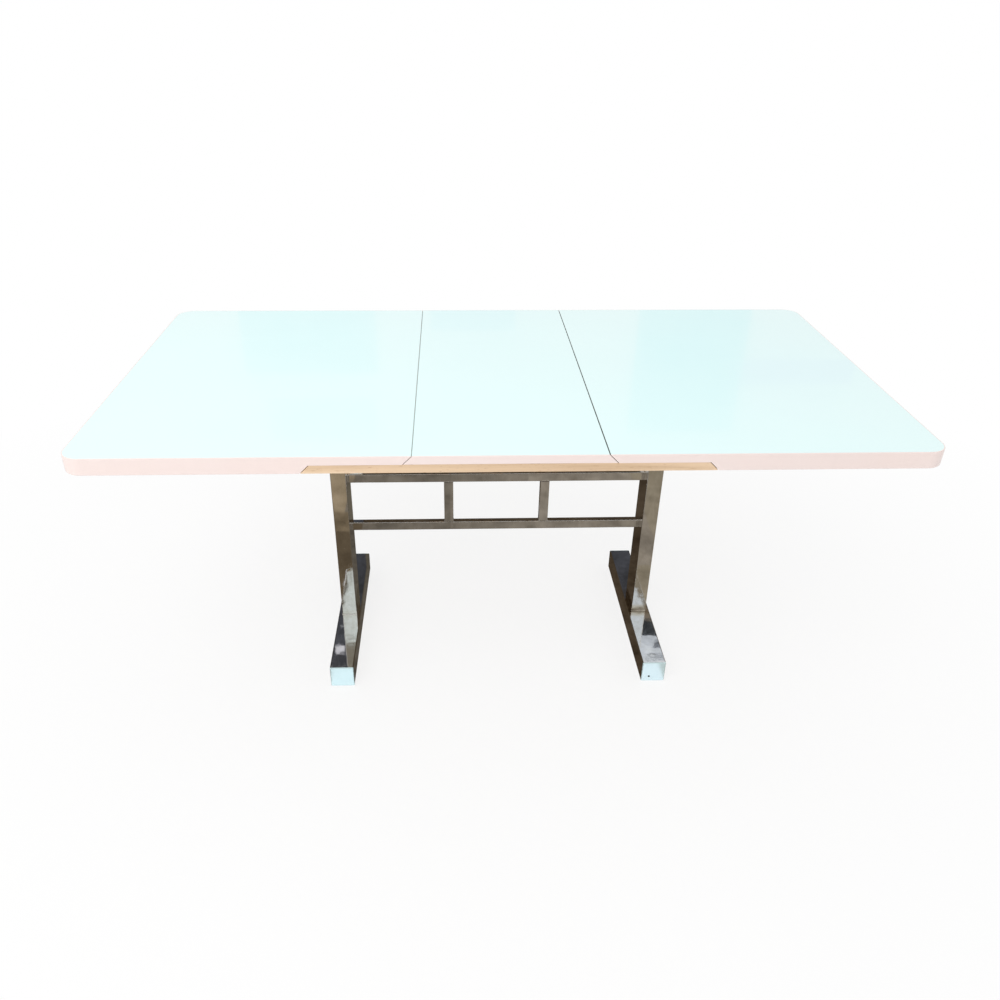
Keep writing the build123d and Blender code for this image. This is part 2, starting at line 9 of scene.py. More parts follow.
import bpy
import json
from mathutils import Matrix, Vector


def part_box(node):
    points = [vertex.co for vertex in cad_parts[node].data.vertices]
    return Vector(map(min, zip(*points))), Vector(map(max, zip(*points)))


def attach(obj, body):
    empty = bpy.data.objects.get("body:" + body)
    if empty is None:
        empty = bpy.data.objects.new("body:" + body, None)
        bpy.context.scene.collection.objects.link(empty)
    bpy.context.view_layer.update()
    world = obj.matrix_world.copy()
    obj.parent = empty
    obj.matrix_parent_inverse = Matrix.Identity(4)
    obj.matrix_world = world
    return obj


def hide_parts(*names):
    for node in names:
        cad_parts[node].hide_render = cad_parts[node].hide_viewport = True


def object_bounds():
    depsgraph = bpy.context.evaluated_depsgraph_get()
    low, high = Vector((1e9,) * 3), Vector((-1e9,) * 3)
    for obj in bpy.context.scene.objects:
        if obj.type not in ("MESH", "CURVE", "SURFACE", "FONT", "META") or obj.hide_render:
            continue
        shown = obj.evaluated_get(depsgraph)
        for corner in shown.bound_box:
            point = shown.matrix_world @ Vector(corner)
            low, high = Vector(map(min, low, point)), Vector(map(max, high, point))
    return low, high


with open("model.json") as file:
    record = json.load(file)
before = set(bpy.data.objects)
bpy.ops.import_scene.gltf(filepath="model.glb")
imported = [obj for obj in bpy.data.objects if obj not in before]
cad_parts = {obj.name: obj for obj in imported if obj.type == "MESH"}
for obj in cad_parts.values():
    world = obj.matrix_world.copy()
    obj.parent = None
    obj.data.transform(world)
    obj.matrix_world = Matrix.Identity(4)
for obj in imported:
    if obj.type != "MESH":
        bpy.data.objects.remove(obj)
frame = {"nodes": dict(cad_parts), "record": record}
cad_box = [list(corner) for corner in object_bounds()]

import json
import math

import bmesh
import bpy
from mathutils import Matrix, Vector

print("table from", [round(v, 3) for v in cad_box[0]], "to", [round(v, 3) for v in cad_box[1]])

# %% [markdown]
# ## The camera
# The table is seen from a standing person's height, a little left of its middle. Three turns
# place such a camera: a yaw round the vertical, a pitch down from the horizon, and a slight
# roll round the line of sight. Multiplying the turns in that order keeps each one readable.

# %% Make the camera
eye = Vector((-0.1123, -1.8376, 1.4773))
yaw, pitch, roll = math.radians(2.148), math.radians(30.526), math.radians(0.536)
lens_data = bpy.data.cameras.new("eye")
lens_data.sensor_width = 36
lens_data.lens = 30.487
lens_data.shift_x = 0.0208
lens_data.shift_y = -0.0016
lens_data.dof.use_dof = False
camera = bpy.data.objects.new("eye", lens_data)
bpy.context.scene.collection.objects.link(camera)
camera.matrix_world = (
    Matrix.Translation(eye)
    @ Matrix.Rotation(-yaw, 4, "Z")
    @ Matrix.Rotation(math.radians(90) - pitch, 4, "X")
    @ Matrix.Rotation(roll, 4, "Z")
)
bpy.context.scene.camera = camera
bpy.context.scene.view_settings.view_transform = "Standard"
print("the eye is", round(eye.z, 3), "m above the floor")

# %% [markdown]
# ## Node helpers
# A procedural material is a few nodes wired together. Small helpers keep the wiring short. One
# makes a node, sets it and links what it is given. Another makes a material with the values
# that are the same all over, which belong on the shader's own sockets, and a third links the
# patterns to the other sockets.

# %% Make and wire a material
def feed(owner, socket, value):
    """Links another node's output to a socket, or sets the socket to a plain value."""
    if isinstance(value, bpy.types.NodeSocket):
        owner.node_tree.links.new(value, socket)
    else:
        socket.default_value = value


def add_node(owner, kind, settings=None, **inputs):
    """Makes one node; an input is a number, a colour or another node's output."""
    made = owner.node_tree.nodes.new("ShaderNode" + kind)
    for name, value in (settings or {}).items():
        setattr(made, name, value)
    for name, value in inputs.items():
        feed(owner, made.inputs[name.replace("_", " ")], value)
    return made


def new_finish(name, **sockets):
    """Makes a material and sets its shader's sockets."""
    material = bpy.data.materials.new(name)
    material.use_nodes = True
    shader = material.node_tree.nodes["Principled BSDF"]
    for socket, value in sockets.items():
        shader.inputs[socket.replace("_", " ")].default_value = value
    return material, shader


def wire(material, shader, **sockets):
    """Links patterns to the shader's sockets."""
    for socket, source in sockets.items():
        feed(material, shader.inputs[socket.replace("_", " ")], source)
    print(material.name, "has", len(material.node_tree.nodes), "nodes")


# %% [markdown]
# Every pattern here is read from Object coordinates, in metres, so a grain keeps its real size
# on every piece. Colour ramps turn a pattern into colours, a Map Range turns it into a plain
# value such as roughness, and a Bump turns it into relief.

# %% Patterns
def object_pattern(material, stretch=(1, 1, 1)):
    """Object coordinates in metres, stretched by a Mapping node."""
    place = add_node(material, "TexCoord")
    return add_node(
        material, "Mapping", Vector=place.outputs["Object"], Scale=stretch
    ).outputs["Vector"]


def noise(material, where, scale, detail=3.0, roughness=0.55, distortion=0.0):
    """A noise pattern's value, 0 to 1."""
    return add_node(
        material, "TexNoise", Vector=where, Scale=scale, Detail=detail,
        Roughness=roughness, Distortion=distortion,
    ).outputs["Fac"]


def blend_colours(material, amount, stops):
    """A colour ramp: stops are (place, (r, g, b))."""
    ramp = add_node(material, "ValToRGB", Fac=amount)
    elements = ramp.color_ramp.elements
    while len(elements) < len(stops):
        elements.new(0.5)
    for element, (place, colour) in zip(elements, stops):
        element.position = place
        element.color = (*colour, 1)
    return ramp.outputs["Color"]


def spread(owner, amount, low, high, start=0.3, end=0.7):
    """Maps a pattern's value from start and end to low and high."""
    return add_node(
        owner, "MapRange", Value=amount,
        **{"From Min": start, "From Max": end, "To Min": low, "To Max": high},
    ).outputs["Result"]


def relief(material, height, distance):
    """A bump of so many metres from a pattern's value."""
    bump = add_node(material, "Bump", Height=height, Distance=distance, Strength=1.0)
    return bump.outputs["Normal"]


# %% [markdown]
# Patterns are combined by arithmetic, and colours and whole shaders by mixing. Each of these
# steps is one node, so each gets one helper.

# %% Steps of arithmetic and mixing
def arithmetic(owner, operation, *values):
    """One step with numbers or other nodes' values."""
    step = add_node(owner, "Math", {"operation": operation})
    for socket, value in zip(step.inputs, values):
        feed(owner, socket, value)
    return step.outputs["Value"]


def vector_step(material, operation, *vectors):
    """One step with vectors."""
    step = add_node(material, "VectorMath", {"operation": operation})
    for socket, value in zip(step.inputs, vectors):
        feed(material, socket, value)
    return step.outputs["Value" if operation == "LENGTH" else "Vector"]


def mix_colours(material, amount, first, second, blend="MIX"):
    """The first colour where the amount is 0, and the blend with the second where it is 1."""
    mixed = add_node(material, "Mix", {"data_type": "RGBA", "blend_type": blend})
    for number, value in ((0, amount), (6, first), (7, second)):
        feed(material, mixed.inputs[number], value)
    return mixed.outputs[2]


def multiply_colours(material, first, second):
    """Two colours multiplied."""
    return mix_colours(material, 1.0, first, second, "MULTIPLY")


def mix_shaders(material, amount, first, second):
    """The first shader where the amount is 0, and the second where it is 1."""
    mixed = add_node(material, "MixShader", Fac=amount)
    feed(material, mixed.inputs[1], first)
    feed(material, mixed.inputs[2], second)
    return mixed.outputs[0]


def show(material, look):
    """Puts a finished look on the surface."""
    feed(material, material.node_tree.nodes["Material Output"].inputs["Surface"], look)


# %% [markdown]
# ## Painted shade in the right joint
# The open joint between the leaf and the right half gets painted shade, most of all at its
# front end. A mask on the distance from the joint's middle darkens the boards' sloping ends
# inside it, and a line of less than a millimetre along the edge of the half. It is strongest at
# the front and fades out towards the underside.

# %% Painted shade in the right joint
leaf_side, half_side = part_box("leaf_laminate")[1].x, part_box("right_laminate")[0].x
joint_middle, joint_half = (leaf_side + half_side) / 2, (half_side - leaf_side) / 2
table_front, table_back, table_top = cad_box[0][1], cad_box[1][1], cad_box[1][2]
# The colour of the painted shade in the joint.
joint_shade_colour = (0.3, 0.3, 0.28)
joint_shade_at_back = 0.35
joint_shade_depth, joint_shade_fade = 0.009, 0.004
reach_on_top = (joint_half + 0.0004, joint_half + 0.0007)
reach_inside = (0.01, 0.012)


def painted_joint_shade(material, full, clear):
    """Painted shade to multiply by: dark up to a distance, and white from another one on."""
    place = add_node(material, "SeparateXYZ", Vector=object_pattern(material)).outputs
    aside = arithmetic(material, "SUBTRACT", place["X"], joint_middle)
    near = spread(material, arithmetic(material, "ABSOLUTE", aside), 1.0, 0.0, full, clear)
    towards_front = spread(material, place["Y"], 1.0, joint_shade_at_back, table_front, table_back)
    deepest = table_top - joint_shade_depth
    high_up = spread(material, place["Z"], 0.0, 1.0, deepest - joint_shade_fade, deepest)
    amount = arithmetic(material, "MULTIPLY", near, towards_front)
    amount = arithmetic(material, "MULTIPLY", amount, high_up)
    return blend_colours(material, amount, [(0.0, (1, 1, 1)), (1.0, joint_shade_colour)])


# Where the painted shade in the joint lies.
print("grime gathers", round(1000 * joint_middle, 1), "mm to the right of the table's middle")

# %% [markdown]
# ## White gloss laminate
# The top is a hard, glassy sheet. Its pale cyan cast is painted sky reflection in the base
# colour. A film of clear coat over the colour gives the mirror-like sheen. A real sheet is
# never quite flat, so a very weak and broad bump makes its reflections waver, and a slight
# change of tint keeps large areas from looking dead. Painted shade darkens a thin line along
# the right half's edge at the joint.

# %% White gloss laminate
white_gloss, shader = new_finish(
    "white_gloss", Roughness=0.16, IOR=1.5, Coat_Weight=0.6, Coat_Roughness=0.02
)
where = object_pattern(white_gloss)
clouds = noise(white_gloss, where, 2.2, detail=2.0)
# The cyan in these colours is painted sky reflection.
tint = blend_colours(
    white_gloss, clouds, [(0.3, (0.765, 0.98, 0.975)), (0.7, (0.785, 0.985, 0.98))]
)
waver = noise(white_gloss, where, 5.0, detail=1.0)
orange_peel = noise(white_gloss, where, 420.0, detail=1.0)
peel_share = 0.004
uneven = arithmetic(white_gloss, "MULTIPLY_ADD", orange_peel, peel_share, waver)
wipes = noise(white_gloss, object_pattern(white_gloss, (3, 40, 1)), 3.0, detail=4.0)
# The base colour is multiplied by the painted joint shade.
wire(
    white_gloss, shader,
    Base_Color=multiply_colours(white_gloss, tint, painted_joint_shade(white_gloss, *reach_on_top)),
    Roughness=spread(white_gloss, wipes, 0.13, 0.2),
    Normal=relief(white_gloss, uneven, 0.0012),
)

# %% [markdown]
# ## White edging
# The edges carry a plastic band, less shiny than the top. Its pink warmth is painted warm light
# in the base colour. Its face shows the faint upright ripple that the trimming cutter leaves.

# %% White edging
white_edging, shader = new_finish("white_edging", Roughness=0.32, IOR=1.46)
where = object_pattern(white_edging)
# The pink in these colours is painted warm light.
tint = blend_colours(
    white_edging, noise(white_edging, where, 3.0),
    [(0.3, (0.91, 0.765, 0.72)), (0.7, (0.91, 0.785, 0.75))],
)
ripple = noise(white_edging, object_pattern(white_edging, (1, 1, 0.02)), 260.0, detail=1.0)
wire(
    white_edging, shader,
    Base_Color=tint,
    Roughness=spread(white_edging, noise(white_edging, where, 35.0), 0.28, 0.4),
    Normal=relief(white_edging, ripple, 0.00005),
)

# %% [markdown]
# ## Balancing sheet on the boards
# The underside of a laminated board has a cheaper, matt backing sheet. It is off-white, finely
# speckled, and marked here and there from handling. On the boards' sloping ends inside the
# right joint it also carries the painted joint shade.

# %% White board
white_board, shader = new_finish("white_board", Roughness=0.6)
where = object_pattern(white_board)
speckle = noise(white_board, where, 900.0, detail=2.0)
scuffs = noise(white_board, object_pattern(white_board, (2, 14, 1)), 4.0, detail=5.0)
base = blend_colours(
    white_board, speckle, [(0.35, (0.6, 0.57, 0.52)), (0.6, (0.72, 0.69, 0.64))]
)
worn = blend_colours(white_board, scuffs, [(0.62, (0, 0, 0)), (0.8, (1, 1, 1))])
marked = mix_colours(white_board, worn, base, (0.5, 0.46, 0.4, 1))
# The base colour is multiplied by the painted joint shade.
wire(
    white_board, shader,
    Base_Color=multiply_colours(white_board, marked, painted_joint_shade(white_board, *reach_inside)),
    Normal=relief(white_board, speckle, 0.00008),
)

# %% [markdown]
# ## Beech rails and bearers
# The wooden frame is planed beech. Its grain is long streaks with short dark flecks in them.
# Noise stretched along the piece makes both, and the Mapping node decides which way they run,
# so the rails along the table and the bearers across it share one recipe.

# %% Wood along either axis
def planed_wood(name, along):
    """Beech with its grain along axis 0 or 1."""
    wood, wood_shader = new_finish(name, Roughness=0.5)
    streak_stretch, fleck_stretch = [1.0, 1.0, 1.0], [1.0, 1.0, 1.0]
    streak_stretch[along], fleck_stretch[along] = 0.045, 0.12
    streaks = noise(
        wood, object_pattern(wood, streak_stretch), 46.0,
        detail=5.0, roughness=0.6, distortion=0.6,
    )
    flecks = noise(wood, object_pattern(wood, fleck_stretch), 520.0, detail=2.0)
    colour = blend_colours(
        wood, streaks,
        [(0.25, (0.62, 0.43, 0.265)), (0.5, (0.8, 0.585, 0.39)), (0.75, (0.88, 0.67, 0.47))],
    )
    dark = blend_colours(wood, flecks, [(0.62, (1, 1, 1)), (0.74, (0.72, 0.62, 0.52))])
    wire(
        wood, wood_shader,
        Base_Color=multiply_colours(wood, colour, dark),
        Roughness=spread(wood, streaks, 0.42, 0.6),
        Normal=relief(wood, flecks, 0.0001),
    )
    return wood


wood_along_table = planed_wood("rail_wood_along", 0)
wood_across_table = planed_wood("rail_wood_across", 1)

# %% [markdown]
# ## Polished chrome
# Chrome plate is a mirror, so most of what it shows is the room. What gives it away as metal
# on welded tube is that the tube under it was polished by hand: the flats waver, and thumbed
# patches are a touch duller. Broad bump and patchy roughness give both. Where an upright was
# welded to its foot, heat left a straw and brown stain, strong on the right and faint on the
# left. It follows the distance from the upright's lower end, which a few vector steps find on
# the coordinates themselves, folded over at the middle so that one recipe serves both sides.

# %% Heat round the welds
upright_low, upright_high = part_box("right_upright")
weld_centre = (
    (upright_low.x + upright_high.x) / 2, (upright_low.y + upright_high.y) / 2, upright_low.z
)
weld_reach = (
    (upright_high.x - upright_low.x) / 2, (upright_high.y - upright_low.y) / 2, 0.0
)
heat_full, heat_gone = 0.002, 0.024
heat_left, heat_right, between_uprights = 0.12, 1.0, 0.2


def weld_heat(material, where):
    """How hot the metal became: 1 at the right weld, and 0 where heat didn't reach."""
    folded = vector_step(material, "ABSOLUTE", where)
    offset = vector_step(material, "SUBTRACT", folded, weld_centre)
    outside = vector_step(
        material, "SUBTRACT", vector_step(material, "ABSOLUTE", offset), weld_reach
    )
    distance = vector_step(
        material, "LENGTH", vector_step(material, "MAXIMUM", outside, (0, 0, 0))
    )
    heat = arithmetic(
        material, "MULTIPLY",
        spread(material, distance, 1.0, 0.0, heat_full, heat_gone),
        spread(material, noise(material, where, 55.0, detail=4.0), 0.35, 1.0),
    )
    across = add_node(material, "SeparateXYZ", Vector=where).outputs["X"]
    side = spread(material, across, heat_left, heat_right, -between_uprights, between_uprights)
    return arithmetic(material, "MULTIPLY", heat, side)


print("the stain ends", round(1000 * heat_gone), "mm from an upright")

# %% Polished chrome
polished_chrome, shader = new_finish("polished_chrome", Metallic=1.0, Roughness=0.06)
where = object_pattern(polished_chrome)
patches = noise(
    polished_chrome, object_pattern(polished_chrome, (1, 1, 0.4)), 42.0,
    detail=7.0, roughness=0.72, distortion=0.4,
)
tone = blend_colours(
    polished_chrome, patches, [(0.32, (0.69, 0.672, 0.642)), (0.68, (0.82, 0.815, 0.805))]
)
stain = blend_colours(
    polished_chrome, weld_heat(polished_chrome, where),
    [
        (0.0, (1, 1, 1)), (0.3, (0.94, 0.9, 0.83)),
        (0.7, (0.6, 0.54, 0.46)), (1.0, (0.4, 0.36, 0.3)),
    ],
)
wave = noise(polished_chrome, object_pattern(polished_chrome, (1, 1, 0.5)), 16.0, detail=2.0)
wire(
    polished_chrome, shader,
    Base_Color=multiply_colours(polished_chrome, tone, stain),
    Roughness=spread(polished_chrome, patches, 0.025, 0.08),
    Normal=relief(polished_chrome, wave, 0.0004),
)

# %% [markdown]
# The plates that close the feet are satin rather than a full mirror, and their pale blue is
# painted sky reflection in the base colour. A shader that is only about half metal scatters
# part of the light, so it catches the light evenly and still shows a soft reflection.

# %% Plated foot ends
plated_ends, shader = new_finish("plated_ends", Metallic=0.55, Roughness=0.2)
where = object_pattern(plated_ends)
haze = noise(plated_ends, where, 120.0, detail=4.0)
# The blue in the base colour is painted sky reflection.
wire(
    plated_ends, shader,
    Base_Color=blend_colours(
        plated_ends, haze, [(0.3, (0.73, 0.94, 0.97)), (0.7, (0.77, 0.97, 1.0))]
    ),
    Roughness=spread(plated_ends, haze, 0.16, 0.24),
    Normal=relief(plated_ends, haze, 0.00003),
)

# %% [markdown]
# ## Grey powder coat
# The channels, head tubes, arms and brackets work under the top, where few look, and have a
# plain grey powder coat. Under a close light the coat shows a fine orange peel.

# %% Grey paint
grey_paint, shader = new_finish("grey_paint", Roughness=0.45)
where = object_pattern(grey_paint)
peel = noise(grey_paint, where, 650.0, detail=2.0)
tint = blend_colours(
    grey_paint, noise(grey_paint, where, 9.0, detail=4.0),
    [(0.3, (0.115, 0.117, 0.118)), (0.7, (0.15, 0.152, 0.153))],
)
wire(
    grey_paint, shader,
    Base_Color=tint,
    Roughness=spread(grey_paint, peel, 0.38, 0.55),
    Normal=relief(grey_paint, peel, 0.0001),
)

# %% [markdown]
# ## Small parts
# Screws, nuts and shafts are steel with bright zinc, whose crystals a cell pattern gives. The
# bushes that they turn in are waxy nylon, which lets a little light into it.

# %% Zinc and nylon
zinc, shader = new_finish("zinc", Metallic=1.0, Roughness=0.35)
crystals = add_node(
    zinc, "TexVoronoi", Vector=object_pattern(zinc), Scale=700.0
).outputs["Distance"]
wire(
    zinc, shader,
    Base_Color=blend_colours(
        zinc, crystals, [(0.1, (0.52, 0.5, 0.45)), (0.8, (0.68, 0.67, 0.62))]
    ),
    Roughness=spread(zinc, crystals, 0.26, 0.42, 0.1, 0.8),
)

bush_nylon, shader = new_finish("bush_nylon", Roughness=0.42, Subsurface_Weight=0.1)
mould = noise(bush_nylon, object_pattern(bush_nylon), 300.0)
wire(
    bush_nylon, shader,
    Base_Color=blend_colours(
        bush_nylon, mould, [(0.3, (0.66, 0.64, 0.56)), (0.7, (0.76, 0.74, 0.67))]
    ),
    Normal=relief(bush_nylon, mould, 0.00005),
)

# %% [markdown]
# Under the feet is a dark grained plastic. The buffers are black rubber, grey with dust where
# it gathers, and the pads are brownish felt, with sheen for the stray light in its nap.

# %% Plastic, rubber and felt
glide_plastic, shader = new_finish("glide_plastic", Roughness=0.55)
grain = noise(glide_plastic, object_pattern(glide_plastic), 800.0)
wire(
    glide_plastic, shader,
    Base_Color=blend_colours(
        glide_plastic, grain, [(0.3, (0.045, 0.03, 0.02)), (0.7, (0.075, 0.05, 0.035))]
    ),
    Normal=relief(glide_plastic, grain, 0.0001),
)

rubber, shader = new_finish("rubber", Roughness=0.8)
dust = noise(rubber, object_pattern(rubber), 160.0, detail=6.0)
wire(
    rubber, shader,
    Base_Color=blend_colours(
        rubber, dust, [(0.4, (0.022, 0.022, 0.023)), (0.75, (0.07, 0.068, 0.064))]
    ),
    Normal=relief(rubber, dust, 0.0001),
)

felt, shader = new_finish("felt", Roughness=0.95, Sheen_Weight=0.5, Sheen_Roughness=0.6)
fibres = noise(
    felt, object_pattern(felt, (1, 1, 0.4)), 1500.0, detail=4.0, distortion=2.5
)
wire(
    felt, shader,
    Base_Color=blend_colours(
        felt, fibres, [(0.35, (0.16, 0.14, 0.12)), (0.65, (0.32, 0.29, 0.26))]
    ),
    Normal=relief(felt, fibres, 0.0004),
)

# %% [markdown]
# ## Dress the solids
# A solid from the frame keeps its shape and only changes its material. The record names each
# node's slot, so the finishes go on by slot. The wood looks at which way a piece is long.

# %% Give each solid its finish
finishes = {
    "white_gloss": white_gloss,
    "white_edging": white_edging,
    "white_board": white_board,
    "rail_wood": wood_along_table,
    "polished_chrome": polished_chrome,
    "grey_paint": grey_paint,
    "zinc": zinc,
    "bush_nylon": bush_nylon,
    "glide_plastic": glide_plastic,
    "rubber": rubber,
    "felt": felt,
}
slot_of = {row["node"]: row["material_slot"] for row in frame["record"]["subparts"]}


def dress(piece, finish):
    """Leaves the piece with this one material."""
    piece.data.materials.clear()
    piece.data.materials.append(finish)


for name, solid in frame["nodes"].items():
    low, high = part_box(name)
    across = slot_of[name] == "rail_wood" and high.y - low.y > high.x - low.x
    dress(solid, wood_across_table if across else finishes[slot_of[name]])
dress(frame["nodes"]["foot_end_plates"], plated_ends)
print(len(frame["nodes"]), "solids dressed")

# %% [markdown]
# ## Helpers for modelling
# Each new piece starts from a primitive and is shaped in edit mode. An operator works on what
# is selected, so one helper selects faces or edges by a test. The others start a round blank,
# extrude, narrow, and apply a modifier such as a Boolean.

# %% Select and start a shape
def clear_selection():
    """Goes to object mode with nothing selected."""
    if bpy.context.object and bpy.context.object.mode == "EDIT":
        bpy.ops.object.mode_set(mode="OBJECT")
    bpy.ops.object.select_all(action="DESELECT")


def pick(kind, test):
    """In edit mode, selects only the faces or only the edges that pass the test."""
    bpy.ops.mesh.select_mode(type=kind)
    bpy.ops.mesh.select_all(action="DESELECT")
    mesh = bmesh.from_edit_mesh(bpy.context.object.data)
    for part in mesh.faces if kind == "FACE" else mesh.edges:
        if test(part):
            part.select_set(True)
    mesh.select_flush_mode()
    bmesh.update_edit_mesh(bpy.context.object.data)


def at_height(part, z):
    """Whether all of a face or edge lies at a height."""
    return all(abs(corner.co.z - z) < 1e-6 for corner in part.verts)


def turned_blank(radius, low, high, sides=48):
    """An upright cylinder round the origin's axis, in edit mode."""
    clear_selection()
    bpy.ops.mesh.primitive_cylinder_add(vertices=sides, radius=radius, depth=high - low)
    blank = bpy.context.object
    blank.data.transform(Matrix.Translation((0, 0, (low + high) / 2)))
    bpy.ops.object.mode_set(mode="EDIT")
    return blank


def extrude_up(rise):
    """Extrudes what is selected upwards, or downwards where the rise is negative."""
    bpy.ops.mesh.extrude_region_move(TRANSFORM_OT_translate={"value": (0, 0, rise)})


def narrow(share):
    """Shrinks what is selected sideways to a share of its size."""
    bpy.ops.transform.resize(value=(share, share, 1))


def apply_modifier(piece, kind, **settings):
    """Adds one modifier in object mode and applies it."""
    clear_selection()
    modifier = piece.modifiers.new(kind.lower(), kind)
    for name, value in settings.items():
        setattr(modifier, name, value)
    bpy.context.view_layer.objects.active = piece
    bpy.ops.object.modifier_apply(modifier=modifier.name)


def combine(piece, operation, other):
    """Joins, cuts or crosses a piece with another one, which is used up."""
    apply_modifier(piece, "BOOLEAN", operation=operation, object=other)
    bpy.data.objects.remove(other)


# %% [markdown]
# A new screw or pad goes exactly where the frame has one. So the next helpers find the boxes of
# a node's separate solids, turn a box into a place, and copy a model to all of its places. The
# last one hangs the finished piece on its body, in place of the plain solids.

# %% Measure, copy and settle
def solid_boxes(node):
    """The lowest and highest corners of each separate solid in a node."""
    mesh = bmesh.new()
    mesh.from_mesh(frame["nodes"][node].data)
    bmesh.ops.remove_doubles(mesh, verts=mesh.verts, dist=1e-6)
    waiting, boxes = set(mesh.verts), []
    while waiting:
        front = [waiting.pop()]
        solid = list(front)
        while front:
            near = {e.other_vert(v) for v in front for e in v.link_edges} & waiting
            waiting -= near
            front = list(near)
            solid += front
        places = [v.co.copy() for v in solid]
        boxes.append(tuple(
            Vector([choose(p[axis] for p in places) for axis in range(3)])
            for choose in (min, max)
        ))
    mesh.free()
    return sorted(boxes, key=lambda box: tuple(box[0]))


def on_axis(box, height, turn=0.0):
    """The place of a model on a box's upright axis, at a height and turned."""
    low, high = box
    return (
        Matrix.Translation(((low.x + high.x) / 2, (low.y + high.y) / 2, height))
        @ Matrix.Rotation(turn, 4, "Z")
    )


def copies(model, places):
    """Copies of a model, each with its own mesh, joined as one piece."""
    clear_selection()
    for place in places:
        twin = bpy.data.objects.new(model.name, model.data.copy())
        twin.data.transform(place)
        bpy.context.scene.collection.objects.link(twin)
        twin.select_set(True)
        bpy.context.view_layer.objects.active = twin
    bpy.data.objects.remove(model)
    bpy.ops.object.join()
    return bpy.context.object


def settle(piece, name, slot, body, *nodes):
    """Names and dresses a finished piece, and hangs it on its body in place of its nodes."""
    clear_selection()
    piece.name = piece.data.name = name
    piece.select_set(True)
    bpy.context.view_layer.objects.active = piece
    bpy.ops.object.shade_smooth_by_angle(angle=math.radians(35))
    dress(piece, finishes[slot])
    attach(piece, body)
    if nodes:
        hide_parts(*nodes)
    print(name, "has", len(piece.data.polygons), "faces")


# %% [markdown]
# ## Cross-head screws
# Every screw drives upwards into wood, so its head is what shows from below: a shallow dome
# with a cross recess. The head is a short cylinder with a bevelled rim, its shank is extruded
# from an inset of the same cylinder, and two thin blocks cut the cross by Boolean difference.

# %% Screws
screw_head_radius, screw_head_height, screw_shank_radius = 0.0045, 0.0025, 0.00225
dome_reach, point_width = 0.0016, 0.2
recess_width, recess_length, recess_depth = 0.0009, 0.005, 0.0013
turn_between_screws = math.radians(37)


def cross_head_screw(length):
    """One screw, head down at height 0, as long as given."""
    screw = turned_blank(screw_head_radius, 0, screw_head_height, 32)
    pick("FACE", lambda face: at_height(face, screw_head_height))
    bpy.ops.mesh.inset(thickness=screw_head_radius - screw_shank_radius)
    point = 2 * screw_shank_radius
    for rise, share in ((length - screw_head_height - point, 1), (point, point_width)):
        extrude_up(rise)
        narrow(share)
    pick("EDGE", lambda edge: at_height(edge, 0))
    bpy.ops.mesh.bevel(offset=dome_reach, segments=4)
    for width, depth in ((recess_width, recess_length), (recess_length, recess_width)):
        clear_selection()
        bpy.ops.mesh.primitive_cube_add(size=1)
        cutter = bpy.context.object
        cutter.data.transform(Matrix.Diagonal((width, depth, 2 * recess_depth, 1)))
        combine(screw, "DIFFERENCE", cutter)
    return screw


for node, body in (
    ("bearer_screws", "base"),
    ("leaf_screws", "base"),
    ("left_bracket_screws", "left_half"),
    ("right_bracket_screws", "right_half"),
):
    boxes = solid_boxes(node)
    screw = cross_head_screw(boxes[0][1].z - boxes[0][0].z)
    places = [
        on_axis(box, box[0].z, turn_between_screws * number) for number, box in enumerate(boxes)
    ]
    settle(copies(screw, places), "driven_" + node, "zinc", body, node)

# %% [markdown]
# ## Lock nuts
# The nuts on the upper pivots must not work loose, so each has a nylon ring crimped in a
# collar. A six-sided cylinder gives the hexagon. Crossing it with a round blank that has
# bevelled rims leaves the curved chamfers that every turned nut has on its corners.

# %% Lock nuts
nut_flats, nut_height = 0.013, 0.006
nut_corner = nut_flats / math.sqrt(3)
collar_radius, collar_height = nut_flats * 0.44, 0.0016
hexagon_height = nut_height - collar_height
thread_radius = 0.004


def lock_nut():
    """One nut standing on height 0, with its collar up."""
    nut = turned_blank(nut_corner, 0, hexagon_height, 6)
    chamfer = turned_blank(nut_corner, 0, hexagon_height, 96)
    pick("EDGE", lambda edge: at_height(edge, 0) or at_height(edge, hexagon_height))
    bpy.ops.mesh.bevel(offset=0.0009, segments=1)
    combine(nut, "INTERSECT", chamfer)
    collar = turned_blank(collar_radius, hexagon_height - collar_height, nut_height)
    pick("EDGE", lambda edge: at_height(edge, nut_height))
    bpy.ops.mesh.bevel(offset=0.0007, segments=3)
    combine(nut, "UNION", collar)
    combine(nut, "DIFFERENCE", turned_blank(thread_radius, -0.001, nut_height + 0.001))
    return nut


for hand in ("left", "right"):
    places = []
    for low, high in solid_boxes(hand + "_pivot_nuts"):
        outwards = 1 if low.y > 0 else -1
        start = low.y if outwards > 0 else high.y
        places.append(
            Matrix.Translation(((low.x + high.x) / 2, start, (low.z + high.z) / 2))
            @ Matrix.Rotation(math.radians(-90 * outwards), 4, "X")
        )
    settle(
        copies(lock_nut(), places), hand + "_lock_nuts", "zinc", hand + "_half",
        hand + "_pivot_nuts",
    )

# %% [markdown]
# ## Felt discs
# When the table is closed, the halves lie on the leaf with felt discs between, so that the
# gloss isn't scratched. Punched felt has a soft edge and a nap, and a plain disc looks wrong:
# so the rim is rounded, the faces are divided, and a cloudy displacement raises the nap.

# %% Felt discs
nap = bpy.data.textures.new("nap", "CLOUDS")
nap.noise_scale = 0.0014
nap_height, nap_room = 0.0003, 0.0002
disc_rings = 8


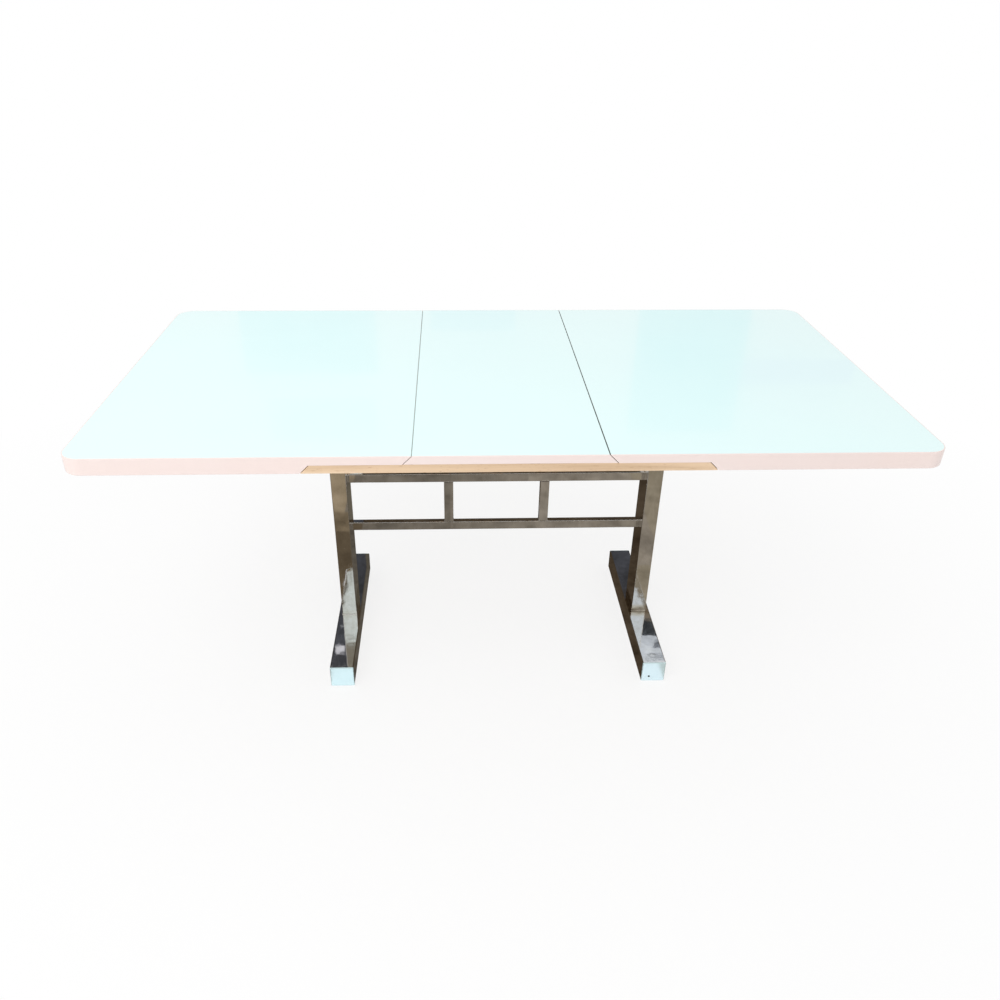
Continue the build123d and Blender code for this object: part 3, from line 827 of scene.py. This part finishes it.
def felt_disc(radius, height):
    """One disc, resting on height 0."""
    levels = (0, height - nap_room)
    disc = turned_blank(radius - nap_room, *levels, 64)
    for level in levels:
        pick("FACE", lambda face: at_height(face, level))
        for ring in range(disc_rings):
            bpy.ops.mesh.inset(thickness=radius / (disc_rings + 1.5))
        bpy.ops.mesh.poke()
    pick("EDGE", lambda edge: edge.calc_length() < 0.0013 and any(
        at_height(edge, level)
        and all(corner.co.xy.length > radius - 2 * nap_room for corner in edge.verts)
        for level in levels
    ))
    bpy.ops.mesh.bevel(offset=0.0006, segments=3)
    apply_modifier(
        disc, "DISPLACE", texture=nap, texture_coords="LOCAL", strength=nap_height,
        mid_level=0.5,
    )
    return disc


for hand in ("left", "right"):
    boxes = solid_boxes(hand + "_felt_pads")
    low, high = boxes[0]
    disc = felt_disc((high.x - low.x) / 2, high.z - low.z)
    places = [on_axis(box, box[0].z, number) for number, box in enumerate(boxes)]
    settle(
        copies(disc, places), hand + "_felt_discs", "felt", hand + "_half",
        hand + "_felt_pads",
    )

# %% [markdown]
# ## Rubber buffers
# Where a half comes down at rest it lands on moulded rubber buffers. A moulded buffer tapers
# so that it leaves its mould, has a waist groove that lets it give, and a dimple on top. It
# stands on the channel, whose wall lies over the head tube, and its stem goes through the wall.

# %% Rubber buffers
channel_wall = 0.005
channel_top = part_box("left_head_tube")[1].z + channel_wall
buffer_taper, waist_taper = 0.88, 0.9
waist_height, stem_radius, dimple_depth = 0.0045, 0.003, 0.0008


def rubber_buffer(low, high, base_z):
    """One buffer on its own axis, with its stem below base_z."""
    radius = (high.x - low.x) / 2
    waist_z = base_z + waist_height
    buffer = turned_blank(radius, base_z, high.z)
    pick("FACE", lambda face: at_height(face, high.z))
    narrow(buffer_taper)
    bpy.ops.mesh.select_all(action="SELECT")
    bpy.ops.mesh.bisect(plane_co=(0, 0, waist_z), plane_no=(0, 0, 1))
    pick("EDGE", lambda edge: at_height(edge, waist_z))
    bpy.ops.mesh.bevel(offset=0.0012, segments=2)
    pick("EDGE", lambda edge: at_height(edge, waist_z))
    narrow(waist_taper)
    pick("EDGE", lambda edge: at_height(edge, high.z))
    bpy.ops.mesh.bevel(offset=0.0016, segments=4)
    pick("FACE", lambda face: at_height(face, high.z))
    bpy.ops.mesh.inset(thickness=0.0025)
    bpy.ops.mesh.inset(thickness=0.0012)
    bpy.ops.transform.translate(value=(0, 0, -dimple_depth))
    pick("FACE", lambda face: at_height(face, base_z))
    bpy.ops.mesh.inset(thickness=radius - stem_radius)
    extrude_up(low.z - base_z)
    return buffer


boxes = solid_boxes("rest_buffers")
buffers = copies(
    rubber_buffer(*boxes[0], channel_top), [on_axis(box, 0) for box in boxes]
)
settle(buffers, "moulded_buffers", "rubber", "base", "rest_buffers")

# %% [markdown]
# ## Floor glides
# A driven glide lifts each end of a foot off the floor. Its rim is rounded so that it slides,
# and its face is dished round a centre boss, which is how such glides are moulded.

# %% Floor glides
glide_rim, glide_stem_radius = 0.003, 0.004
dish_depth, boss_height = 0.0008, 0.0005


def floor_glide(low, high):
    """One glide on its own axis."""
    radius = (high.x - low.x) / 2
    glide = turned_blank(radius, 0, glide_rim)
    pick("EDGE", lambda edge: at_height(edge, 0))
    bpy.ops.mesh.bevel(offset=0.0011, segments=4)
    pick("FACE", lambda face: at_height(face, 0))
    bpy.ops.mesh.inset(thickness=0.003)
    bpy.ops.mesh.inset(thickness=0.0008)
    bpy.ops.transform.translate(value=(0, 0, dish_depth))
    bpy.ops.mesh.inset(thickness=0.003)
    extrude_up(-boss_height)
    pick("FACE", lambda face: at_height(face, glide_rim))
    bpy.ops.mesh.inset(thickness=radius - glide_stem_radius)
    extrude_up(high.z - glide_rim)
    return glide


boxes = solid_boxes("floor_glides")
glides = copies(floor_glide(*boxes[0]), [on_axis(box, 0) for box in boxes])
settle(glides, "moulded_glides", "glide_plastic", "base", "floor_glides")

# %% [markdown]
# ## Weld beads
# The trestle is welded before it is polished and plated, and a thin bead still runs round each
# joint. A bead is a line round the tube's end: a plane with its corners bevelled and its face
# deleted. Divided evenly and turned into a curve, it gets a round section whose radius rises
# and falls along it, which is the ripple that a welder's hand leaves.

# %% Weld beads
tube_corner, ripple = 0.0015, 0.0012


def weld_bead(middle, width, depth, turn, bead):
    """A rippled bead round a rectangular tube's end."""
    clear_selection()
    bpy.ops.mesh.primitive_plane_add(size=1)
    line = bpy.context.object
    line.data.transform(Matrix.Diagonal((width, depth, 1, 1)))
    bpy.ops.object.mode_set(mode="EDIT")
    bpy.ops.mesh.select_all(action="SELECT")
    bpy.ops.mesh.bevel(offset=tube_corner, segments=3, affect="VERTICES")
    bpy.ops.mesh.delete(type="ONLY_FACE")
    for side in (width - 2 * tube_corner, depth - 2 * tube_corner):
        pick("EDGE", lambda edge: abs(edge.calc_length() - side) < 1e-5)
        bpy.ops.mesh.subdivide(number_cuts=max(2, round(side / ripple)))
    bpy.ops.object.mode_set(mode="OBJECT")
    bpy.ops.object.convert(target="CURVE")
    curve = bpy.context.object
    curve.data.bevel_depth = bead
    curve.data.bevel_resolution = 2
    for number, point in enumerate(curve.data.splines[0].points):
        point.radius = 0.9 + 0.13 * math.sin(2.1 * number) + 0.06 * math.sin(0.37 * number)
    bpy.ops.object.convert(target="MESH")
    mesh_bead = bpy.context.object
    mesh_bead.data.transform(Matrix.Translation(middle) @ turn)
    return mesh_bead


flat, facing_x = Matrix(), Matrix.Rotation(math.radians(90), 4, "Y")
wide_bead, thin_bead = 0.0014, 0.001
beads = []
for hand, inner_corner in (("left", 1), ("right", 0)):
    for node, bead in (("_upright", wide_bead), ("_strut", thin_bead)):
        low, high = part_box(hand + node)
        centre = (low + high) / 2
        for z in (low.z, high.z):
            beads.append(weld_bead(
                (centre.x, centre.y, z), high.x - low.x, high.y - low.y, flat, bead
            ))
    inner_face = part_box(hand + "_upright")[inner_corner].x
    for node in ("upper_stretcher", "lower_stretcher"):
        low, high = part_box(node)
        centre = (low + high) / 2
        beads.append(weld_bead(
            (inner_face, centre.y, centre.z), high.z - low.z, high.y - low.y, facing_x,
            thin_bead,
        ))
clear_selection()
for bead in beads:
    bead.select_set(True)
bpy.context.view_layer.objects.active = beads[0]
bpy.ops.object.join()
welds = bpy.context.object
bpy.ops.object.mode_set(mode="EDIT")
bpy.ops.mesh.select_all(action="SELECT")
bpy.ops.mesh.normals_make_consistent(inside=False)
settle(welds, "weld_beads", "polished_chrome", "base")

# %% [markdown]
# ## The floor and the white background
# A pale floor runs out to the horizon. Near the table it is mostly its own glow and partly a
# painted floor, which keeps the table's shadow. Farther out the glow takes over until it is
# pure white, so that no horizon shows. The glow is for the eye and for mirrors only, and puts
# no light on the table.

# %% Floor
floor_size, glow_starts, glow_full = 60, 0.7, 2.2
glow_near = 0.8


def seen_directly(owner):
    """1 for what the eye, a mirror or glass sees, and 0 for light on its way to a surface."""
    path = add_node(owner, "LightPath").outputs
    eye_or_mirror = arithmetic(owner, "MAXIMUM", path["Is Camera Ray"], path["Is Glossy Ray"])
    return arithmetic(owner, "MAXIMUM", eye_or_mirror, path["Is Transmission Ray"])


clear_selection()
bpy.ops.mesh.primitive_plane_add(size=floor_size)
floor = bpy.context.object
floor.name = "floor"
floor_paint, shader = new_finish("floor_paint", Roughness=0.9, Specular_IOR_Level=0.1)
where = object_pattern(floor_paint)
wire(
    floor_paint, shader,
    Base_Color=blend_colours(
        floor_paint, noise(floor_paint, where, 0.7, detail=2.0),
        [(0.3, (0.93, 0.93, 0.93)), (0.7, (0.95, 0.95, 0.95))],
    ),
)
distance = vector_step(floor_paint, "LENGTH", where)
fade = spread(floor_paint, distance, glow_near, 1.0, glow_starts, glow_full)
share = arithmetic(floor_paint, "MULTIPLY", fade, seen_directly(floor_paint))
glow = add_node(floor_paint, "Emission", Color=(1, 1, 1, 1), Strength=1.0)
show(floor_paint, mix_shaders(floor_paint, share, shader.outputs[0], glow.outputs[0]))
dress(floor, floor_paint)
print("the floor is all glow from", glow_full, "m out")

# %% [markdown]
# The sky is white where it is seen, and a little weaker where it lights the table, so that the
# white top keeps its own colour and doesn't wash out.

# %% Sky
light_level = 0.78
world = bpy.data.worlds.new("studio")
bpy.context.scene.world = world
world.use_nodes = True
sky = world.node_tree.nodes["Background"]
sky.inputs["Color"].default_value = (1, 1, 1, 1)
level = spread(world, seen_directly(world), light_level, 1.0, 0.0, 1.0)
feed(world, sky.inputs["Strength"], level)
print("the sky lights the table at", light_level)

# %% [markdown]
# ## Cards for the metal
# Polished metal in an all-white room has nothing to show but white, and stops looking like
# metal. So a studio sets coloured cards where the metal looks. These are seen by mirrors alone,
# so they neither stand in view nor take light away. Some are meant for the first mirror that a
# line of sight meets and some for the second, and a card can be kept to one of the two.

# %% A card
def card(name, corner, opposite, colours, grain=9.0, stretch=(1, 1, 1), mirror=None):
    """A mottled glowing sheet between two corners, seen in mirrors only.

    mirror is 1 or 2 for a card seen in only the first or the second mirror on the way.
    """
    low, high = Vector(corner), Vector(opposite)
    middle, span = (low + high) / 2, high - low
    clear_selection()
    bpy.ops.mesh.primitive_plane_add(size=1)
    sheet = bpy.context.object
    sheet.name = "card_" + name
    upright = span.z > span.y
    turn = Matrix.Rotation(math.radians(90), 4, "X") if upright else Matrix()
    size = (span.x, span.z if upright else span.y, 1, 1)
    sheet.data.transform(Matrix.Translation(middle) @ turn @ Matrix.Diagonal(size))
    paint = bpy.data.materials.new(sheet.name + "_paint")
    paint.use_nodes = True
    paint.node_tree.nodes.remove(paint.node_tree.nodes["Principled BSDF"])
    mottle = noise(paint, object_pattern(paint, stretch), grain, detail=6.0, roughness=0.7)
    colour = blend_colours(paint, mottle, [(0.3, colours[0]), (0.7, colours[1])])
    look = add_node(paint, "Emission", Color=colour).outputs[0]
    if mirror is not None:
        depth = add_node(paint, "LightPath").outputs["Ray Depth"]
        meant = arithmetic(paint, "COMPARE", depth, mirror, 0.5)
        clear = add_node(paint, "BsdfTransparent").outputs[0]
        look = mix_shaders(paint, meant, clear, look)
    show(paint, look)
    dress(sheet, paint)
    for sight in ("camera", "diffuse", "transmission", "volume_scatter", "shadow"):
        setattr(sheet, "visible_" + sight, False)
    return sheet


def floor_card(name, left, right, near, far, colours, height=0.002):
    """A card that lies just above the floor."""
    card(name, (left, near, height), (right, far, height), colours)


def wall_card(
    name, left, right, bottom, top, colours, place, grain=9.0, stretch=(1, 1, 1), mirror=None
):
    """An upright card that faces the room's front, at its place along Y."""
    card(name, (left, place, bottom), (right, place, top), colours, grain, stretch, mirror)


# %% [markdown]
# Each card has two mottled colours, a dark and a light one. Most are browns, as of a wooden
# floor with more or less light on it, and the slate ones are the unlit rear of the room.

# %% Card colours
olive = ((0.22, 0.172, 0.112), (0.45, 0.36, 0.245))
umber = ((0.08, 0.06, 0.038), (0.17, 0.13, 0.085))
bistre = ((0.11, 0.085, 0.055), (0.34, 0.265, 0.175))
taupe = ((0.2, 0.172, 0.125), (0.41, 0.355, 0.27))
drab = ((0.12, 0.104, 0.085), (0.3, 0.265, 0.22))
shade = ((0.05, 0.042, 0.032), (0.15, 0.13, 0.105))
deep_shade = ((0.03, 0.02, 0.012), (0.1, 0.075, 0.05))
drab_shade = ((0.07, 0.059, 0.044), (0.165, 0.145, 0.112))
slate = ((0.03, 0.03, 0.033), (0.09, 0.094, 0.112))
gleam = ((0.45, 0.49, 0.56), (0.88, 0.94, 1.0))

# %% [markdown]
# Brown cards lie on the floor in front of the table, beside it and between its feet, and a
# slate one behind it. Where two of them meet, the metal shows a line between two browns. Two
# cards on the left lie over their neighbours and set where that line runs.

# %% Cards on the floor
edge, nearest, farthest = 1.8, -1.9, 2.4
dusk, step, back, behind = -0.66, -0.54, -0.33, 0.5
foot_gap = 0.001
foot_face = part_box("right_foot")[0].x - foot_gap
foot_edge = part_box("right_foot")[1].x + foot_gap
strip_lines, strip_shares = (-0.47, -0.12, 0.16, 0.53), (0.9, 1.12, 1.42)
dusk_line, near_line, overlap_height = -0.43, -0.405, 0.0025

floor_card("front_left", -edge, strip_lines[0], nearest, dusk, olive)
floor_card("dusk_left", -edge, dusk_line, dusk, step, bistre, overlap_height)
for number, share in enumerate(strip_shares):
    floor_card(
        f"front_middle_{number}", *strip_lines[number:number + 2], nearest, back,
        [[share * value for value in colour] for colour in drab],
    )
floor_card("front_right", strip_lines[-1], edge, nearest, back, taupe)
floor_card("near_left", -edge, near_line, step, back, umber, overlap_height)
floor_card("left", -edge, -foot_edge, back, behind, umber)
floor_card("right", foot_edge, edge, back, behind, taupe)
floor_card("between_left", -foot_face, 0, back, behind, shade)
floor_card("between_right", 0, foot_face, back, behind, deep_shade)
floor_card("rear", -edge, edge, behind, farthest, slate)
print("the cards leave", round(foot_edge - foot_face, 3), "m free for a foot")

# %% [markdown]
# A dark wall of cards stands behind the table. None stands higher than the table's top, or the
# glossy top would mirror it in a low view. One more hangs flat under the top's far edge, where
# the upper stretcher's upper side looks: it is painted shade of the top's underside, which
# would else show a bright line.

# %% Cards behind and above
wall_top = table_top - 0.002
wall_end, low_wall_top, wall_left, wall_right = 1.7, 0.44, -0.4, 0.4
band_left = 0.5
wall_card("wall_left", -wall_end, wall_left, 0.0, wall_top, slate, behind)
wall_card("wall_low_left", wall_left, 0, 0.0, low_wall_top, drab_shade, behind)
wall_card("wall_low_right", 0, wall_right, 0.0, low_wall_top, deep_shade, behind)
wall_card("wall_middle", wall_left, band_left, low_wall_top, wall_top, deep_shade, behind)
wall_card("wall_right", wall_right, wall_end, 0.0, low_wall_top, slate, behind)
rail_low, rail_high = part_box("back_rail")
hung_left, hung_right, hung_near = -0.385, 0.48, 0.05
hung_far, hung_height = rail_high.y + 0.035, rail_low.z - 0.0015
# A sheet of painted shade, seen in the first mirror only.
card(
    "under_top", (hung_left, hung_near, hung_height), (hung_right, hung_far, hung_height),
    deep_shade, mirror=1,
)
print("the wall of cards is", round(wall_top, 3), "m high")

# %% [markdown]
# The feet are mirrors that lie flat, so they show what hangs behind the table under the height
# of its top. The right foot gets a brown band, a black one and a bluish gleam, one above the
# other, with three dull spots. The left foot gets two pale spots. Two small pale cards on the
# floor light the end plates.

# %% Cards for the feet
spot_gap, plate_margin = 0.002, 0.014
band_steps = (low_wall_top, 0.526, 0.603, wall_top)
bands = (
    ("band_low", ((0.14, 0.115, 0.085), (0.32, 0.27, 0.22)), 9.0, (1, 1, 1)),
    ("band_dark", ((0.02, 0.022, 0.024), (0.05, 0.055, 0.062)), 9.0, (1, 1, 1)),
    ("gleam", gleam, 16.0, (1, 1, 1.6)),
)
for bottom, top, (name, colours, grain, stretch) in zip(band_steps, band_steps[1:], bands):
    wall_card(name, band_left, wall_end, bottom, top, colours, behind, grain, stretch)
for number, (left, right, bottom, top, dark, light) in enumerate((
    (0.61, 0.645, 0.625, 0.66, (0.04, 0.045, 0.055), (0.36, 0.39, 0.45)),
    (0.598, 0.662, 0.688, 0.694, (0.04, 0.045, 0.05), (0.3, 0.32, 0.36)),
    (0.588, 0.668, 0.708, 0.713, (0.04, 0.045, 0.05), (0.25, 0.27, 0.3)),
    (-0.535, -0.497, 0.622, 0.661, (0.6, 0.6, 0.64), (0.9, 0.9, 0.98)),
    (-0.508, -0.494, 0.532, 0.54, (0.25, 0.26, 0.28), (0.5, 0.52, 0.55)),
)):
    wall_card(
        f"spot_{number}", left, right, bottom, top, (dark, light), behind - spot_gap,
        30.0, (1, 1, 2),
    )
for side, tint in (("left", (0.93, 0.955, 1.0)), ("right", (0.97, 0.915, 0.98))):
    low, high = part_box(side + "_foot")
    floor_card(
        "plate_" + side, low.x - plate_margin, high.x + plate_margin, back,
        low.y - spot_gap, (tint, tint),
    )
print("the bands start at", band_steps[:-1], "m")

# %% [markdown]
# Whoever looks at the table stands in front of it and shows in it too, as a dark line along
# every rounded edge that faces the room. What the uprights see in the feet is the front of the
# room. Upright fences, a beige card, two leaning cards and two sheets of daylight stand there,
# for the second mirror only, and trim it to a bright wedge on each side.

# %% Onlooker and the front of the room
onlooker_y, room_y = -0.7, -1.84
wall_card("onlooker", -0.9, 0.9, 0.35, 0.735, slate, onlooker_y, 4.0, mirror=1)
wall_card("fence_left", -1.3, -0.3, 0.0, 1.195, bistre, room_y, mirror=2)
wall_card("fence_right", 0.5, 1.5, 0.0, 1.33, taupe, room_y, mirror=2)
beige = ((0.2, 0.185, 0.15), (0.45, 0.42, 0.36))
wall_card("beige", -0.95, -0.6, 1.66, 2.1, beige, room_y, 5.0, mirror=2)
leaning_width, leaning_height = 1.0, 2.6
for side, foot, lean, colours in (
    ("left", (-1.385, room_y - 0.01, -0.03), -13.7, umber),
    ("right", (0.44, room_y - 0.01, 0.2), 20.3, taupe),
):
    sheet = card(
        "side_" + side, (0, 0, 0), (leaning_width, 0, leaning_height), colours, mirror=2
    )
    sheet.data.transform(
        Matrix.Translation(foot) @ Matrix.Rotation(math.radians(lean), 4, "Y")
    )
for side, left, right, daylight in (
    ("left", -1.2, -0.3, ((0.82, 0.9, 0.9), (0.9, 0.97, 0.97))),
    ("right", 0.3, 1.4, ((0.82, 0.9, 1.0), (0.9, 0.97, 1.0))),
):
    wall_card(
        "daylight_" + side, left, right, 1.0, 2.4, daylight, room_y - 0.02, 3.0, mirror=2
    )

# %% [markdown]
# Far behind the table a few pale blue panes hang high up, where only the glossy top can see
# them, and give it the faint patches of a window.

# %% Window
pane_y = 4.0
for number, (left, right, bottom, top, dark, light) in enumerate((
    (-1.6, -0.64, 1.85, 2.37, (0.68, 0.94, 0.97), (0.8, 0.97, 1.0)),
    (-1.47, -0.67, 2.57, 2.92, (0.76, 0.95, 0.97), (0.85, 0.97, 1.0)),
    (-0.25, 0.35, 1.85, 2.05, (0.74, 0.9, 0.97), (0.82, 0.95, 1.0)),
    (1.24, 2.05, 1.85, 2.86, (0.64, 0.92, 0.97), (0.76, 0.97, 1.0)),
    (2.05, 2.9, 2.28, 2.48, (0.85, 0.82, 0.97), (0.9, 0.87, 1.0)),
)):
    wall_card(f"pane_{number}", left, right, bottom, top, (dark, light), pane_y, 2.5)

# %% [markdown]
# ## The lamp
# One large soft lamp stands in front and to the left, above the eye. With the even light of
# the room it models the edges, and its own shape is kept out of the reflections.

# %% Lamp
lamp_data = bpy.data.lights.new("key", "AREA")
lamp_data.size, lamp_data.energy = 2.6, 56
lamp = bpy.data.objects.new("key", lamp_data)
bpy.context.scene.collection.objects.link(lamp)
lamp.location = Vector((-1.5, -2.4, 3.3))
aim = Vector((0, 0, 0.6)) - lamp.location
lamp.rotation_euler = aim.to_track_quat("-Z", "Y").to_euler()
lamp.visible_glossy = False
print("the lamp is", round(aim.length, 2), "m from the table")
